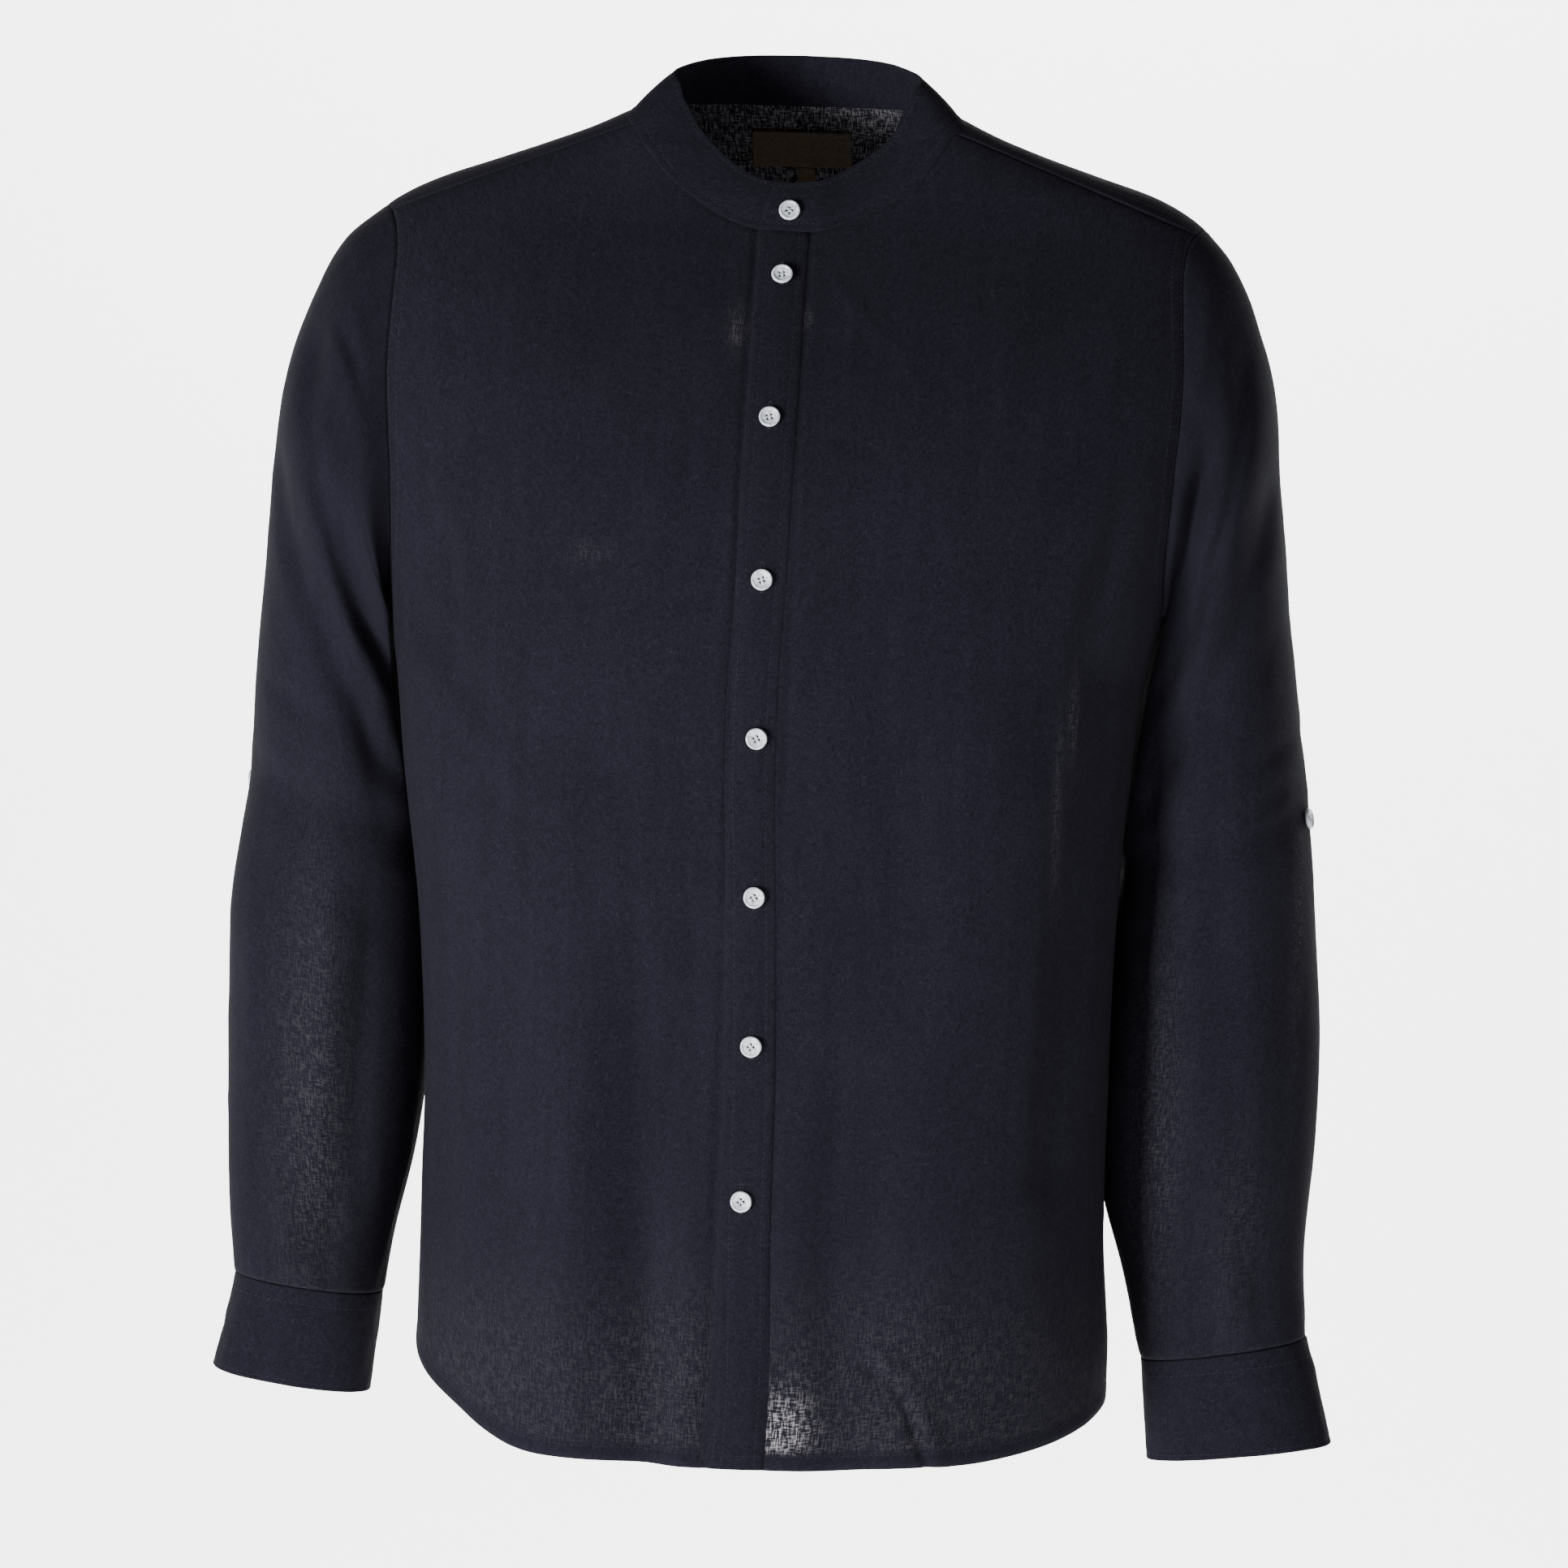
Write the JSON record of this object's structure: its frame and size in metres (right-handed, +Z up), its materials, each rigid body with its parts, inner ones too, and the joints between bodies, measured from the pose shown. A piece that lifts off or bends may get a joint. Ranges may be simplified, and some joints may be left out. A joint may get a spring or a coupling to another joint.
{
  "type": "mandarin collar shirt",
  "caption": "Long-sleeved linen shirt with a mandarin collar, button placket, yoke, set-in sleeves, cuffs and a curved hem, filled out as it is worn.",
  "frame": {"origin": "midpoint between the points where the shoulder ridges meet the collar, where the wearer holds the shirt", "axes": "+Z up along the wearer's back, -Y to the front, +X to the wearer's left"},
  "size_m": [0.6167, 0.2967, 0.7662],
  "materials": {
    "navy_linen": "matt plain-weave linen blend, dark navy, lightly creased",
    "label_weave": "plain woven tape, brown",
    "button_pearl": "pale grey pearl, soft gloss"
  },
  "bodies": {
    "root": {"front_left": "navy_linen", "front_right": "navy_linen", "placket_over": "navy_linen", "placket_under": "navy_linen", "yoke": "navy_linen", "back": "navy_linen", "collar_band": "navy_linen", "sleeve_left": "navy_linen", "sleeve_right": "navy_linen", "sleeve_placket_left": "navy_linen", "sleeve_placket_right": "navy_linen", "cuff_left": "navy_linen", "cuff_right": "navy_linen", "label_main": "label_weave", "label_size": "label_weave", "button_collar": "button_pearl", "button_front_1": "button_pearl", "button_front_2": "button_pearl", "button_front_3": "button_pearl", "button_front_4": "button_pearl", "button_front_5": "button_pearl", "button_front_6": "button_pearl", "button_front_7": "button_pearl", "button_cuff_left": "button_pearl", "button_cuff_right": "button_pearl", "button_tab_left": "button_pearl", "button_tab_right": "button_pearl"}
  },
  "joints": []
}
